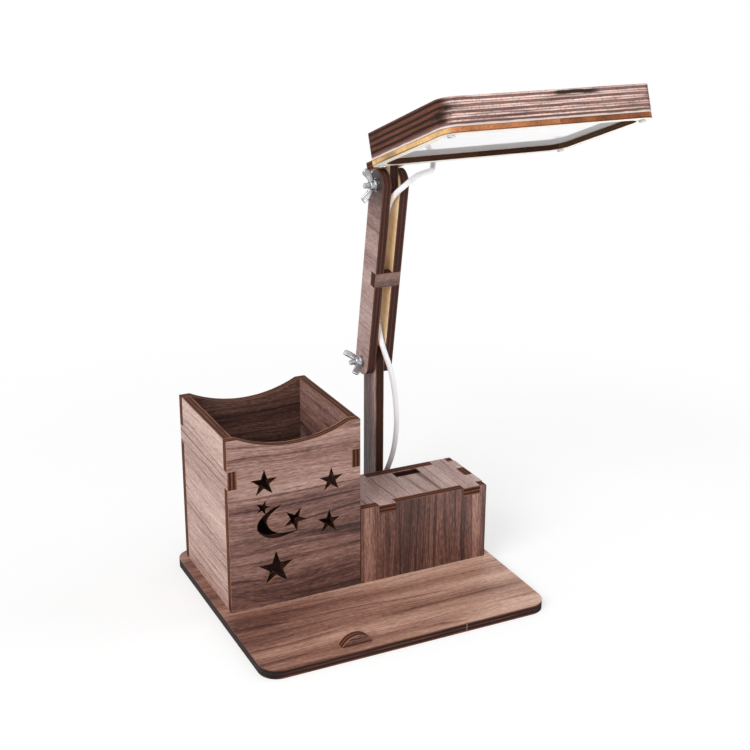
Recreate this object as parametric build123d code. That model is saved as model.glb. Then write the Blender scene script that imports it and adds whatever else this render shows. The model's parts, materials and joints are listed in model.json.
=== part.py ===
"""Desk lamp with a pen holder, cut from plywood sheet.

Millimetres, +Z up, +X to the right and +Y to the back as the user sees it.
The origin is the middle of the base plate's underside.
"""
import os
from math import cos, pi, radians, sin, tan

from build123d import *

# Sheet stock
ply = 5.0
head_ply = 3.0
shelf_ply = 3.0
diffuser_sheet = 2.0

# Clearances
joint_gap = 0.1
turn_gap = 0.1
bolt_fit = 0.05
lid_gap = 0.2
grommet_fit = 0.05

# Base plate
left_margin = 5.5
right_margin = 4.2
back_margin = 5.0
front_strip = 62.0
base_corner = 10.0
foot_tab = 15.0

# Phone stop
stop_height = 5.1
stop_chord = 16.9
stop_from_left = 46.6
stop_from_front = 5.4
stop_tab = 10.0

# Pen holder
pen_width = 75.0
pen_depth = 75.0
pen_height = 98.0
pen_scoop_flat = 6.0
pen_scoop_drop = 7.4
pen_tab_height = 10.0
pen_tab_drop = 17.0

# Star cut-outs: middle from the panel's middle, tip radius, angle of the first tip
stars = [
    ((-17.5, 22.4), 8.0, 89.0),
    ((20.5, 17.2), 7.3, 90.0),
    ((-18.3, 8.5), 4.7, 71.0),
    ((-0.5, -1.6), 7.2, 62.0),
    ((19.0, -6.9), 7.3, 88.0),
    ((-11.7, -28.0), 10.6, 90.0),
]
star_waist = 0.382

# Crescent cut-out, from the panel's middle: its horns, and what its outer and inner edges pass through
crescent_upper_horn = (-6.9, 8.0)
crescent_lower_horn = (3.1, -7.7)
crescent_outer = [(-15.9, 5.8), (-22.1, -2.4), (-15.5, -9.6), (-6.0, -10.0)]
crescent_inner = [(-6.0, -8.0), (-13.9, -5.2), (-16.3, 0.2), (-12.6, 5.0)]

# Box
box_gap = 0.5
box_length = 78.3
box_depth = 42.0
box_height = 45.0
box_corner = 1.0
lid_tab = 10.0
lid_tab_from_left = 16.2
lid_tab_from_right = 9.4
lid_side_tab = 10.0
slot_length = 15.6
slot_width = 6.2
slot_from_left = 44.5
slot_from_front = 33.15

# Post and arm
arm_from_left = 31.5
arm_width = 15.5
arm_length = 105.0
arm_lean = 9.8
pivot_height = 111.0
bridge_height = 8.0
post_tenon = 9.0
post_tenon_levels = (9.0, 29.0)

# Bolts, washers and wing nuts
bolt_radius = 1.5
bolt_head_radius = 2.9
bolt_head_height = 2.2
bolt_end = 3.0
recess_width = 0.8
recess_length = 3.2
recess_depth = 1.1
washer_radius = 3.5
washer_thickness = 0.5
nut_height = 3.6
nut_base_radius = 3.3
nut_top_radius = 2.6
wing_reach = 9.0
wing_height = 8.2
wing_thickness = 1.5
wing_tip_radius = 2.2
wing_root = 1.9
wing_root_lift = 0.9
lower_wing_angle = 31.0
upper_wing_angle = 95.0

# Light head
head_width = 120.0
head_depth = 87.0
head_corner = 7.0
head_overhang = 13.85
head_lean = 20.4
hinge_setback = 6.5
hinge_drop = 8.1
ring_count = 3
ring_rim = 8.0
ring_corner = 12.0
frame_rim = 5.0
frame_corner = 9.0
tongue_end = 5.2
tongue_front = 8.5
tongue_back = 8.0
tongue_neck = 5.0
hinge_plate_back = 8.5
head_screw_inset = 5.6
head_screw_radius = 1.0
head_screw_head_radius = 1.9
head_screw_head = 1.3
head_screw_bite = 2.0

# LED board
board_width = 96.0
board_depth = 56.0
board_thickness = 1.6
led_size = 5.0
led_height = 1.0
led_columns = 4
led_rows = 3
led_pitch_x = 22.0
led_pitch_y = 17.0

# Battery tray for three small cells
cell_radius = 5.25
cell_length = 44.5
cell_count = 3
cell_pitch = 11.7
cell_button_radius = 1.9
cell_button = 0.8
tray_wall = 1.2
tray_depth = 13.5
tray_end_room = 2.4
tray_clearance = 0.2
contact_thickness = 0.4
contact_size = 8.0
spring_radius = 3.0

# Slide switch
switch_plate_width = 6.0
switch_plate_thickness = 0.5
switch_body_length = 12.0
switch_body_width = 5.0
switch_body_height = 6.0
switch_drop = 2.2
switch_screw_from_body = 1.9
switch_plate_end = 1.9
switch_screw_radius = 0.9
switch_screw_head_radius = 1.6
switch_screw_head = 1.0
switch_pin = 2.4
switch_pin_width = 0.8
switch_pin_spacing = 4.0
shelf_end = 3.2
shelf_depth = 12.0
shelf_tab = 10.0
knob_length = 4.0
knob_width = 3.4
knob_recess = 2.6
knob_travel = 4.0
knob_sink = 2.0
knob_gap = 0.2

# Lead, its grommet in the box and its way into the head's back
lead_radius = 1.5
lead_inset = 1.0
lead_straight = 5.0
lead_arc_share = 0.45
lead_hole_from_left = 40.5
lead_hole_height = 12.0
grommet_radius = 3.4
grommet_flange_radius = 4.6
grommet_flange = 1.2
lead_from_arm = 31.5
lead_in_head = 6.5
core_radius = 0.8
core_bend = 1.2
wire_radius = 0.5
wire_spread = 0.65
wire_bend = 2.0

# Places that several pieces share
base_width = left_margin + pen_width + box_gap + box_length + right_margin
base_depth = front_strip + pen_depth + back_margin
base_top = ply
pen_x = (-base_width / 2 + left_margin, -base_width / 2 + left_margin + pen_width)
pen_y = (base_depth / 2 - back_margin - pen_depth, base_depth / 2 - back_margin)
box_x = (pen_x[1] + box_gap, pen_x[1] + box_gap + box_length)
box_y = (pen_y[0], pen_y[0] + box_depth)
box_top = base_top + box_height
lid_low = box_top - ply
arm_x = box_x[0] + arm_from_left
pivot_y = box_y[1] + arm_width / 2
pivot_z = base_top + pivot_height
upper_y = pivot_y - arm_length * sin(radians(arm_lean))
upper_z = pivot_z + arm_length * cos(radians(arm_lean))
arm_gap = ply + 2 * turn_gap
arm_stack = arm_gap + 2 * ply
ring_low = head_ply + diffuser_sheet
cover_low = ring_low + ring_count * head_ply
lead_level = ring_low + 2 * head_ply
switch_x = box_x[0] + slot_from_left
switch_y = box_y[0] + slot_from_front
shelf_top = lid_low - switch_drop
switch_top = shelf_top + switch_plate_thickness
switch_screw_spacing = switch_body_length + 2 * switch_screw_from_body
switch_plate_length = switch_screw_spacing + 2 * switch_plate_end
shelf_length = switch_plate_length + 2 * shelf_end
tray_back = box_y[0] + ply + tray_clearance + tray_depth
lead_hole = (box_x[0] + lead_hole_from_left, base_top + lead_hole_height)

# Frames of the arm, about the lower pivot, and of the head, about the upper pivot
arm_at = Location((arm_x, pivot_y, pivot_z), (arm_lean, 0, 0))
head_at = Location((arm_x, upper_y, upper_z), (-head_lean, 0, 0))

# Route of the lead, chosen by hand
# Behind the box: right of the arm's middle, behind the box's back, share of the climb to the lower pivot
lead_behind_box = [
    (8.2, 12.5, 0.051),
    (7.2, 14.0, 0.146),
    (6.6, 9.5, 0.242),
    (7.6, 4.0, 0.322),
    (10.1, 1.5, 0.442),
    (10.55, -0.8, 0.576),
    (9.45, -2.6, 0.702),
    (7.55, -4.0, 0.818),
    (5.45, -4.9, 0.922),
    (3.05, -5.0, 1.008),
    (0.85, -3.2, 1.083),
]
# Between the arm's plates, in the arm's frame: across it, and along it from the lower pivot
lead_in_arm = [
    (-4.9, 17.1),
    (1.2, 32.3),
    (2.7, arm_length / 2 - 8.3),
    (3.0, arm_length / 2 + 6.9),
    (2.2, arm_length - 31.3),
    (-0.9, arm_length - 13.0),
]
# Under the head, from the upper pivot
lead_under_head = [
    (0.05, -3.5, -6.6),
    (0.95, -8.9, -2.2),
    (4.45, -12.0, 1.9),
    (10.5, -10.5, 5.2),
    (17.0, -8.3, 6.1),
]
# Behind the head, in the head's frame, from the middle of the lead's hole
lead_behind_head = [
    (-9.3, 0.7, -15.3),
    (-5.3, 6.2, -14.2),
    (-2.1, 9.9, -10.5),
    (-0.5, 10.1, -4.5),
    (0.0, 5.6, 0.0),
    (0.0, -lead_in_head, 0.0),
]


def span(middle, size):
    """Low and high ends of a size laid evenly about its middle."""
    return (middle - size / 2, middle + size / 2)


def grown(ends, gap):
    """The same stretch with a clearance added at both ends."""
    return (ends[0] - gap, ends[1] + gap)


def block(x, y, z):
    """Box between the low and high ends given for each axis."""
    middle = [(low + high) / 2 for low, high in (x, y, z)]
    return Pos(*middle) * Box(x[1] - x[0], y[1] - y[0], z[1] - z[0])


def rod_x(radius, x, y=0.0, z=0.0):
    """Round bar along X."""
    return Pos((x[0] + x[1]) / 2, y, z) * Rot(0, 90, 0) * Cylinder(radius, x[1] - x[0])


def rod_y(radius, x, y, z):
    """Round bar along Y."""
    return Pos(x, (y[0] + y[1]) / 2, z) * Rot(90, 0, 0) * Cylinder(radius, y[1] - y[0])


def rod_z(radius, x, y, z):
    """Round bar along Z."""
    return Pos(x, y, (z[0] + z[1]) / 2) * Cylinder(radius, z[1] - z[0])


def tube(points, radius):
    """Round cord along straight runs joined by arcs as large as the runs allow."""
    corners = [Vector(*point) for point in points]
    runs = [after - before for before, after in zip(corners, corners[1:])]
    bends = []
    for before, after in zip(runs, runs[1:]):
        shorter = min(before.length, after.length)
        bends.append(lead_arc_share * shorter / tan(radians(before.get_angle(after)) / 2))
    path = FilletPolyline(*points, radius=bends)
    start = Plane(origin=path @ 0, z_dir=path % 0)
    cord = sweep(start * Circle(radius), path=path)
    print("bend radii", [round(bend, 1) for bend in bends])
    print("volume over section times length", round(cord.volume / (pi * radius**2 * path.length), 4))
    return cord


# Where each panel stands, seen from above
pen_front_y = (pen_y[0], pen_y[0] + ply)
pen_back_y = (pen_y[1] - ply, pen_y[1])
pen_left_x = (pen_x[0], pen_x[0] + ply)
pen_right_x = (pen_x[1] - ply, pen_x[1])
pen_middle = (sum(pen_x) / 2, sum(pen_y) / 2)
box_front_y = (box_y[0], box_y[0] + ply)
box_back_y = (box_y[1] - ply, box_y[1])
box_left_x = (box_x[0], box_x[0] + ply)
box_right_x = (box_x[1] - ply, box_x[1])
box_middle = (sum(box_x) / 2, sum(box_y) / 2)
post_x = span(arm_x, ply)
post_y = (box_y[1], box_y[1] + arm_width)
stop_y = (-base_depth / 2 + stop_from_front, -base_depth / 2 + stop_from_front + ply)
stop_x = pen_x[0] + stop_from_left

# Tab of each upright that passes down through the base
feet = {
    "pen_front": (span(pen_middle[0], foot_tab), pen_front_y),
    "pen_back": (span(pen_middle[0], foot_tab), pen_back_y),
    "pen_left": (pen_left_x, span(pen_middle[1], foot_tab)),
    "pen_right": (pen_right_x, span(pen_middle[1], foot_tab)),
    "box_front": (span(box_middle[0], foot_tab), box_front_y),
    "box_back": (span(box_middle[0], foot_tab), box_back_y),
    "box_left": (box_left_x, span(box_middle[1], foot_tab)),
    "box_right": (box_right_x, span(box_middle[1], foot_tab)),
    "post": (post_x, span(pivot_y, post_tenon)),
    "stop": (span(stop_x, stop_tab), stop_y),
}


def foot(name):
    """Tab that goes down through the base to its underside."""
    x, y = feet[name]
    return block(x, y, (0, base_top))


def base_plate():
    """Rounded plate with one slot for each foot."""
    plate = extrude(RectangleRounded(base_width, base_depth, base_corner), ply)
    for x, y in feet.values():
        plate -= block(grown(x, joint_gap), grown(y, joint_gap), (-ply, 2 * ply))
    return plate


def phone_stop():
    """Low plate with a round top, standing near the front edge."""
    radius = (stop_chord**2 / 4 + stop_height**2) / (2 * stop_height)
    disc = rod_y(radius, stop_x, stop_y, base_top + stop_height - radius)
    above = block(span(stop_x, stop_chord), stop_y, (base_top, base_top + stop_height))
    return (disc & above) + foot("stop")


def star(middle, radius, angle):
    """Five-pointed star."""
    points = []
    for corner in range(10):
        reach = radius if corner % 2 == 0 else radius * star_waist
        turn = radians(angle + 36 * corner)
        points.append((middle[0] + reach * cos(turn), middle[1] + reach * sin(turn)))
    return make_face(Polyline(*points, close=True))


def crescent():
    """Moon between an outer and an inner curve that meet at the horns."""
    outer = Spline(crescent_upper_horn, *crescent_outer, crescent_lower_horn)
    inner = Spline(crescent_lower_horn, *crescent_inner, crescent_upper_horn)
    return make_face([outer, inner])


def pen_tab():
    """Low and high ends of the tabs that join the holder's corners."""
    high = base_top + pen_height - pen_tab_drop
    return (high - pen_tab_height, high)


def pen_face(y, name):
    """Front or back panel: scooped top edge and a notch at each end for the side panels."""
    top = base_top + pen_height
    panel = block(pen_x, y, (base_top, top)) + foot(name)
    chord = pen_width - 2 * pen_scoop_flat
    radius = (chord**2 / 4 + pen_scoop_drop**2) / (2 * pen_scoop_drop)
    panel -= rod_y(radius, pen_middle[0], grown(y, ply), top - pen_scoop_drop + radius)
    tab = pen_tab()
    panel -= block((pen_x[0] - ply, pen_x[0] + ply + joint_gap), grown(y, ply), grown(tab, joint_gap))
    panel -= block((pen_x[1] - ply - joint_gap, pen_x[1] + ply), grown(y, ply), grown(tab, joint_gap))
    return panel


def pen_front_panel():
    """Front panel with the stars and the crescent cut through it."""
    middle = (pen_middle[0], sum(pen_front_y) / 2, base_top + pen_height / 2)
    face = Plane(origin=middle, x_dir=(1, 0, 0), z_dir=(0, -1, 0))
    panel = pen_face(pen_front_y, "pen_front")
    for shape in [star(*each) for each in stars] + [crescent()]:
        panel -= extrude(face * shape, ply, both=True)
    return panel


def pen_side_panel(x, name):
    """Side panel between the front and back, with a tab through each."""
    panel = block(x, (pen_y[0] + ply, pen_y[1] - ply), (base_top, base_top + pen_height))
    return panel + block(x, pen_y, pen_tab()) + foot(name)


def lid_tabs():
    """The two tabs along the lid's front and back edges."""
    left = (box_x[0] + lid_tab_from_left - lid_tab / 2, box_x[0] + lid_tab_from_left + lid_tab / 2)
    right = (box_x[1] - lid_tab_from_right - lid_tab / 2, box_x[1] - lid_tab_from_right + lid_tab / 2)
    return left, right


def box_face(y, name):
    """Front or back panel of the box, notched for the lid's tabs."""
    panel = block(box_x, y, (base_top, box_top))
    corner = panel.edges().filter_by(Axis.Y).sort_by(lambda edge: edge.center().X + edge.center().Z)[-1]
    panel = fillet(corner, box_corner) + foot(name)
    for x in lid_tabs():
        panel -= block(grown(x, lid_gap), grown(y, ply), (lid_low, box_top + ply))
    return panel


def shelf_tab_place():
    """Where the switch shelf's tab goes through the back panel."""
    return span(switch_x, shelf_tab), (shelf_top - shelf_ply, shelf_top)


def box_back_panel():
    """Back panel with slots for the post and the shelf, and the grommet's hole."""
    panel = box_face(box_back_y, "box_back")
    for level in post_tenon_levels:
        z = (base_top + level, base_top + level + post_tenon)
        panel -= block(grown(post_x, joint_gap), grown(box_back_y, ply), grown(z, joint_gap))
    x, z = shelf_tab_place()
    panel -= block(grown(x, joint_gap), grown(box_back_y, ply), grown(z, joint_gap))
    panel -= rod_y(grommet_radius + grommet_fit, lead_hole[0], grown(box_back_y, ply), lead_hole[1])
    return panel


def box_side_panel(x, name):
    """End panel that carries the lid, with a tab up through the lid's edge."""
    panel = block(x, (box_y[0] + ply, box_y[1] - ply), (base_top, lid_low))
    return panel + block(x, span(box_middle[1], lid_side_tab), (lid_low, box_top)) + foot(name)


def box_lid():
    """Lift-off lid, flush with the top of the box, with the switch slot."""
    z = (lid_low, box_top)
    lid = block(box_x, (box_y[0] + ply + lid_gap, box_y[1] - ply - lid_gap), z)
    for x in lid_tabs():
        lid += block(x, box_y, z)
    side = grown(span(box_middle[1], lid_side_tab), lid_gap)
    lid -= block((box_x[0] - ply, box_x[0] + ply + lid_gap), side, grown(z, ply))
    lid -= block((box_x[1] - ply - lid_gap, box_x[1] + ply), side, grown(z, ply))
    slot = block(span(switch_x, slot_length), span(switch_y, slot_width), grown(z, ply))
    return lid - slot


def post():
    """Upright plate, tenoned into the base and the back of the box, round about the pivot."""
    plate = block(post_x, post_y, (base_top, pivot_z))
    plate += rod_x(arm_width / 2, post_x, pivot_y, pivot_z)
    for level in post_tenon_levels:
        tenon = (base_top + level, base_top + level + post_tenon)
        plate += block(post_x, (box_y[1] - ply, box_y[1] + ply), tenon)
    plate += foot("post")
    return plate - rod_x(bolt_radius + bolt_fit, grown(post_x, ply), pivot_y, pivot_z)


def bridge_place():
    """The bridge strip's stretch across and along the arm, in the arm's frame."""
    return (-arm_width / 2, -arm_width / 2 + ply), span(arm_length / 2, bridge_height)


def arm_plate(side):
    """One of the arm's two plates: side is -1 for the left and 1 for the right."""
    middle = side * (arm_gap + ply) / 2
    x = span(middle, ply)
    plate = block(x, span(0, arm_width), (0, arm_length))
    for level in (0, arm_length):
        plate += rod_x(arm_width / 2, x, 0, level)
    for level in (0, arm_length):
        plate -= rod_x(bolt_radius + bolt_fit, grown(x, ply), 0, level)
    y, z = bridge_place()
    plate -= block(grown(x, ply), (y[0] - ply, y[1] + joint_gap), grown(z, joint_gap))
    return arm_at * plate


def arm_bridge():
    """Strip that ties the front edges of the two plates."""
    y, z = bridge_place()
    return arm_at * block(span(0, arm_stack), y, z)


def bolt():
    """Pan-headed bolt along X about the origin, with its head on the right."""
    seat = arm_stack / 2 + turn_gap
    tip = -(seat + washer_thickness + turn_gap + nut_height + bolt_end)
    head = rod_x(bolt_head_radius, (seat, seat + bolt_head_height))
    rim = head.edges().filter_by(GeomType.CIRCLE).sort_by(Axis.X)[-1]
    head = fillet(rim, bolt_head_height / 3)
    deep = (seat + bolt_head_height - recess_depth, seat + 2 * bolt_head_height)
    head -= block(deep, span(0, recess_length), span(0, recess_width))
    head -= block(deep, span(0, recess_width), span(0, recess_length))
    return head + rod_x(bolt_radius, (tip, seat))


def washer():
    """Washer under the wing nut."""
    seat = -(arm_stack / 2 + turn_gap)
    x = (seat - washer_thickness, seat)
    return rod_x(washer_radius, x) - rod_x(bolt_radius + turn_gap, grown(x, washer_thickness))


def wing_nut(angle):
    """Wing nut on the left end of the bolt; angle turns its wings from +Y towards +Z."""
    seat = -(arm_stack / 2 + 2 * turn_gap + washer_thickness)
    hub = Cone(nut_base_radius, nut_top_radius, nut_height)
    nut = Pos(seat - nut_height / 2, 0, 0) * Rot(0, -90, 0) * hub
    tip = Pos(wing_reach - wing_tip_radius, wing_height - wing_tip_radius) * Circle(wing_tip_radius)
    root = Polyline((wing_root, wing_root_lift), (wing_root, nut_height))
    ear = make_hull(tip.edges() + root.edges())
    for turn in (radians(angle), radians(angle) + pi):
        radial = (0, cos(turn), sin(turn))
        across = (0, -sin(turn), cos(turn))
        side = Plane(origin=(seat, 0, 0), x_dir=radial, z_dir=across)
        nut += extrude(side * ear, wing_thickness / 2, both=True)
    return nut - rod_x(bolt_radius + bolt_fit, (seat - 2 * wing_height, seat + nut_height))


def level(height):
    """Height above the head's underside, in the head's frame."""
    return hinge_drop + height


head_x = (-head_overhang, head_width - head_overhang)
head_y = (-hinge_setback - head_depth, -hinge_setback)
head_middle = (sum(head_x) / 2, sum(head_y) / 2)
head_corners = [(x, y) for x in grown(head_x, -head_screw_inset) for y in grown(head_y, -head_screw_inset)]


def head_sheet(low, thickness):
    """Full rounded outline of the head, between two heights."""
    outline = RectangleRounded(head_width, head_depth, head_corner)
    return extrude(Pos(*head_middle, level(low)) * outline, thickness)


def head_window(low, thickness, rim, corner):
    """Rounded opening inside a rim, cut past both faces of a layer."""
    outline = RectangleRounded(head_width - 2 * rim, head_depth - 2 * rim, corner)
    return extrude(Pos(*head_middle, level(low) - thickness) * outline, 3 * thickness)


def head_drilled(layer, low, high):
    """The same layer with its four screw holes."""
    for x, y in head_corners:
        layer -= rod_z(head_screw_radius + bolt_fit, x, y, (level(low), level(high)))
    return layer


def head_bottom_frame():
    """Picture-frame layer under the diffuser."""
    layer = head_sheet(0, head_ply) - head_window(0, head_ply, frame_rim, frame_corner)
    return head_at * head_drilled(layer, -head_ply, ring_low)


def head_diffuser():
    """Milky sheet clamped between the frame and the first ring."""
    layer = head_sheet(head_ply, diffuser_sheet)
    return head_at * head_drilled(layer, 0, cover_low)


def head_ring(number):
    """Spacer ring, notched at the back for the tongue, with half of the lead's hole in the upper two."""
    low = ring_low + number * head_ply
    layer = head_sheet(low, head_ply) - head_window(low, head_ply, ring_rim, ring_corner)
    notch = (head_y[1] - 2 * ring_rim, head_y[1] + ring_rim)
    layer -= block(span(0, ply + 2 * joint_gap), notch, (level(low - head_ply), level(low + 2 * head_ply)))
    layer -= rod_y(lead_radius + bolt_fit, lead_from_arm, notch, level(lead_level))
    return head_at * head_drilled(layer, 0, cover_low + head_ply)


def head_top_cover():
    """Closed top layer that the screws bite into."""
    layer = head_sheet(cover_low, head_ply)
    return head_at * head_drilled(layer, ring_low, cover_low + head_screw_bite)


def head_screws():
    """Four screws up through the corners, with their heads below the frame."""
    group = []
    for x, y in head_corners:
        screw = rod_z(head_screw_radius, x, y, (level(0), level(cover_low + head_screw_bite)))
        head = rod_z(head_screw_head_radius, x, y, (level(-head_screw_head), level(0)))
        rim = head.edges().filter_by(GeomType.CIRCLE).sort_by(Axis.Z)[0]
        group.append(head_at * (fillet(rim, head_screw_head / 2) + screw))
    return Compound(children=group)


def tongue_outline():
    """The tongue's shape below the hinge plate: round about the pivot, wide at the top."""
    end = Circle(tongue_end)
    top = Polyline((-tongue_front, hinge_drop), (tongue_back, hinge_drop))
    return make_hull(end.edges() + top.edges())


def head_tongue():
    """Plate that hangs between the arm's plates, bears on the frame and keys into the rings."""
    side = Plane(origin=(0, 0, 0), x_dir=(0, 1, 0), z_dir=(1, 0, 0))
    plate = extrude(side * tongue_outline(), ply / 2, both=True)
    x = span(0, ply)
    plate += block(x, (head_y[1] + joint_gap, tongue_neck), (hinge_drop, level(ring_low)))
    plate += block(x, (head_y[1] - ring_rim, tongue_neck), (level(ring_low), level(cover_low)))
    return head_at * (plate - rod_x(bolt_radius + bolt_fit, grown(x, ply)))


def head_hinge_plate():
    """Stiffener behind the head that the tongue passes through."""
    plate = block(span(0, arm_stack), (head_y[1], hinge_plate_back), (level(0), level(ring_low)))
    slot = (head_y[1] - ply, tongue_neck + joint_gap)
    return head_at * (plate - block(span(0, ply + 2 * joint_gap), slot, (level(-ply), level(cover_low))))


def led_board():
    """Circuit board fixed under the top cover."""
    z = (level(cover_low) - board_thickness, level(cover_low))
    return head_at * block(span(head_middle[0], board_width), span(head_middle[1], board_depth), z)


def leds():
    """Rows of LEDs facing down."""
    top = level(cover_low) - board_thickness
    group = []
    for column in range(led_columns):
        for row in range(led_rows):
            x = head_middle[0] + (column - (led_columns - 1) / 2) * led_pitch_x
            y = head_middle[1] + (row - (led_rows - 1) / 2) * led_pitch_y
            group.append(head_at * block(span(x, led_size), span(y, led_size), (top - led_height, top)))
    return Compound(children=group)


def head_core():
    """Core of the lead inside the head, from the lead's end to the board."""
    x = lead_from_arm
    z = level(lead_level)
    reach = head_middle[1] + board_depth / 2 - ring_rim
    end = level(cover_low) - board_thickness
    path = FilletPolyline((x, head_y[1] - lead_in_head, z), (x, reach, z), (x, reach, end), radius=core_bend)
    return head_at * sweep(Plane(origin=path @ 0, z_dir=path % 0) * Circle(core_radius), path=path)


tray_length = cell_length + cell_button + 2 * tray_wall + 2 * tray_end_room
tray_height = cell_count * cell_pitch + 2 * tray_wall
tray_x = span(box_middle[0], tray_length)
tray_y = (tray_back - tray_depth, tray_back)
cell_y = tray_y[0] + tray_wall + turn_gap + cell_radius
cell_levels = [base_top + tray_wall + (number + 0.5) * cell_pitch for number in range(cell_count)]


def battery_tray():
    """Tray that stands on edge, open to the back."""
    tray = block(tray_x, tray_y, (base_top, base_top + tray_height))
    inside = (base_top + tray_wall, base_top + tray_height - tray_wall)
    return tray - block(grown(tray_x, -tray_wall), (tray_y[0] + tray_wall, tray_y[1] + ply), inside)


def cell_place(number):
    """Ends of one cell's body and the way its button points, turned about from cell to cell."""
    way = 1 if number % 2 == 0 else -1
    return span(box_middle[0] - way * cell_button / 2, cell_length), way


def battery_cells():
    """Three cells, each with its button."""
    group = []
    for number, z in enumerate(cell_levels):
        body, way = cell_place(number)
        face = body[1] if way > 0 else body[0]
        button = (face, face + cell_button) if way > 0 else (face - cell_button, face)
        group.append(rod_x(cell_radius, body, cell_y, z) + rod_x(cell_button_radius, button, cell_y, z))
    return Compound(children=group)


def battery_contacts():
    """A plate with a boss at each button and a plate with a spring at each flat end."""
    group = []
    inside = grown(tray_x, -tray_wall)
    for number, z in enumerate(cell_levels):
        body, way = cell_place(number)
        for end in (-1, 1):
            wall = inside[0] if end < 0 else inside[1]
            plate = (wall, wall + contact_thickness) if end < 0 else (wall - contact_thickness, wall)
            cell_end = body[0] if end < 0 else body[1]
            cell_end += end * cell_button if end == way else 0
            reach = (plate[1], cell_end) if end < 0 else (cell_end, plate[0])
            radius = cell_button_radius if end == way else spring_radius
            piece = block(plate, span(cell_y, contact_size), span(z, contact_size))
            group.append(piece + rod_x(radius, reach, cell_y, z))
    return Compound(children=group)


def switch_shelf():
    """Shelf behind the tray that carries the switch below the lid's slot."""
    inner = box_y[1] - ply
    x, z = shelf_tab_place()
    shelf = block(span(switch_x, shelf_length), (inner - shelf_depth, inner), z)
    shelf += block(x, (inner, box_y[1]), z)
    hole = (span(switch_x, switch_body_length), span(switch_y, switch_body_width))
    shelf -= block(grown(hole[0], joint_gap), grown(hole[1], joint_gap), grown(z, shelf_ply))
    for x in span(switch_x, switch_screw_spacing):
        shelf -= rod_z(switch_screw_radius + bolt_fit, x, switch_y, grown(z, shelf_ply))
    return shelf


def switch_body():
    """Slide switch: a plate on the shelf, a hollow body below it and three pins."""
    plate_z = (shelf_top, switch_top)
    body = block(span(switch_x, switch_plate_length), span(switch_y, switch_plate_width), plate_z)
    z = (switch_top - switch_body_height, switch_top)
    body += block(span(switch_x, switch_body_length), span(switch_y, switch_body_width), z)
    slot_x = grown(span(switch_x, knob_length + knob_travel), knob_gap)
    slot_y = grown(span(switch_y, knob_width), knob_gap)
    body -= block(slot_x, slot_y, (switch_top - knob_sink - knob_gap, box_top))
    for x in span(switch_x, switch_screw_spacing):
        body -= rod_z(switch_screw_radius + bolt_fit, x, switch_y, grown(plate_z, ply))
    for number in (-1, 0, 1):
        pin_x = span(switch_x + number * switch_pin_spacing, switch_pin_width)
        body += block(pin_x, span(switch_y, switch_pin_width), (z[0] - switch_pin, z[0]))
    return body


def switch_screws():
    """Two screws that hold the switch to its shelf."""
    group = []
    for x in span(switch_x, switch_screw_spacing):
        shank = rod_z(switch_screw_radius, x, switch_y, (shelf_top - shelf_ply, switch_top))
        head = rod_z(switch_screw_head_radius, x, switch_y, (switch_top, switch_top + switch_screw_head))
        group.append(shank + head)
    return Compound(children=group)


def switch_knob():
    """Knob at the left end of its travel, below the top of the lid."""
    x = span(switch_x - knob_travel / 2, knob_length)
    return block(x, span(switch_y, knob_width), (switch_top - knob_sink, box_top - knob_recess))


def box_grommet():
    """Flanged sleeve in the back panel."""
    x, z = lead_hole
    sleeve = rod_y(grommet_radius, x, box_back_y, z)
    sleeve += rod_y(grommet_flange_radius, x, (box_y[1], box_y[1] + grommet_flange), z)
    return sleeve - rod_y(lead_radius + grommet_fit, x, grown(box_back_y, ply), z)


def lead_start():
    """Inner end of the lead, inside the grommet."""
    return (lead_hole[0], box_back_y[0] + lead_inset, lead_hole[1])


def box_wires():
    """Tray to switch, switch to lead, and tray to lead."""
    x, z = lead_hole
    pin_low = switch_top - switch_body_height - switch_pin
    lead_y = lead_start()[1]
    pin_x = switch_x + switch_pin_spacing
    tray_z = sum(cell_levels[1:]) / 2
    routes = [
        [(pin_x, tray_back, tray_z), (pin_x, switch_y, tray_z), (pin_x, switch_y, pin_low)],
        [(x + wire_spread, switch_y, pin_low), (x + wire_spread, switch_y, z), (x + wire_spread, lead_y, z)],
    ]
    group = [rod_y(wire_radius, x - wire_spread, (tray_back, lead_y), z)]
    for points in routes:
        path = FilletPolyline(*points, radius=wire_bend)
        group.append(sweep(Plane(origin=path @ 0, z_dir=path % 0) * Circle(wire_radius), path=path))
    return Compound(children=group)


def lead_routes():
    """Points of the lower, middle and upper stretches, which meet halfway along a run."""
    x, z = lead_hole
    climb = pivot_z - z
    lower = [lead_start(), (x, box_y[1] + lead_straight, z)]
    lower += [(arm_x + right, box_y[1] + back, z + share * climb) for right, back, share in lead_behind_box]
    arm = [(arm_at * Pos(0, across, along)).position for across, along in lead_in_arm]
    upper = [(arm_x + right, upper_y + back, upper_z + up) for right, back, up in lead_under_head]
    hole = head_at * Pos(lead_from_arm, head_y[1], level(lead_level))
    upper += [(hole * Pos(*point)).position for point in lead_behind_head]
    low_meet = (arm[0] + arm[1]) / 2
    high_meet = (arm[-2] + arm[-1]) / 2
    lower += [arm[0], low_meet]
    middle = [low_meet, *arm[1:-1], high_meet]
    upper = [high_meet, arm[-1], *upper]
    return [[tuple(point) for point in route] for route in (lower, middle, upper)]


lower_pivot = Pos(arm_x, pivot_y, pivot_z)
upper_pivot = Pos(arm_x, upper_y, upper_z)
lead_lower, lead_middle, lead_upper = lead_routes()

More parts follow.
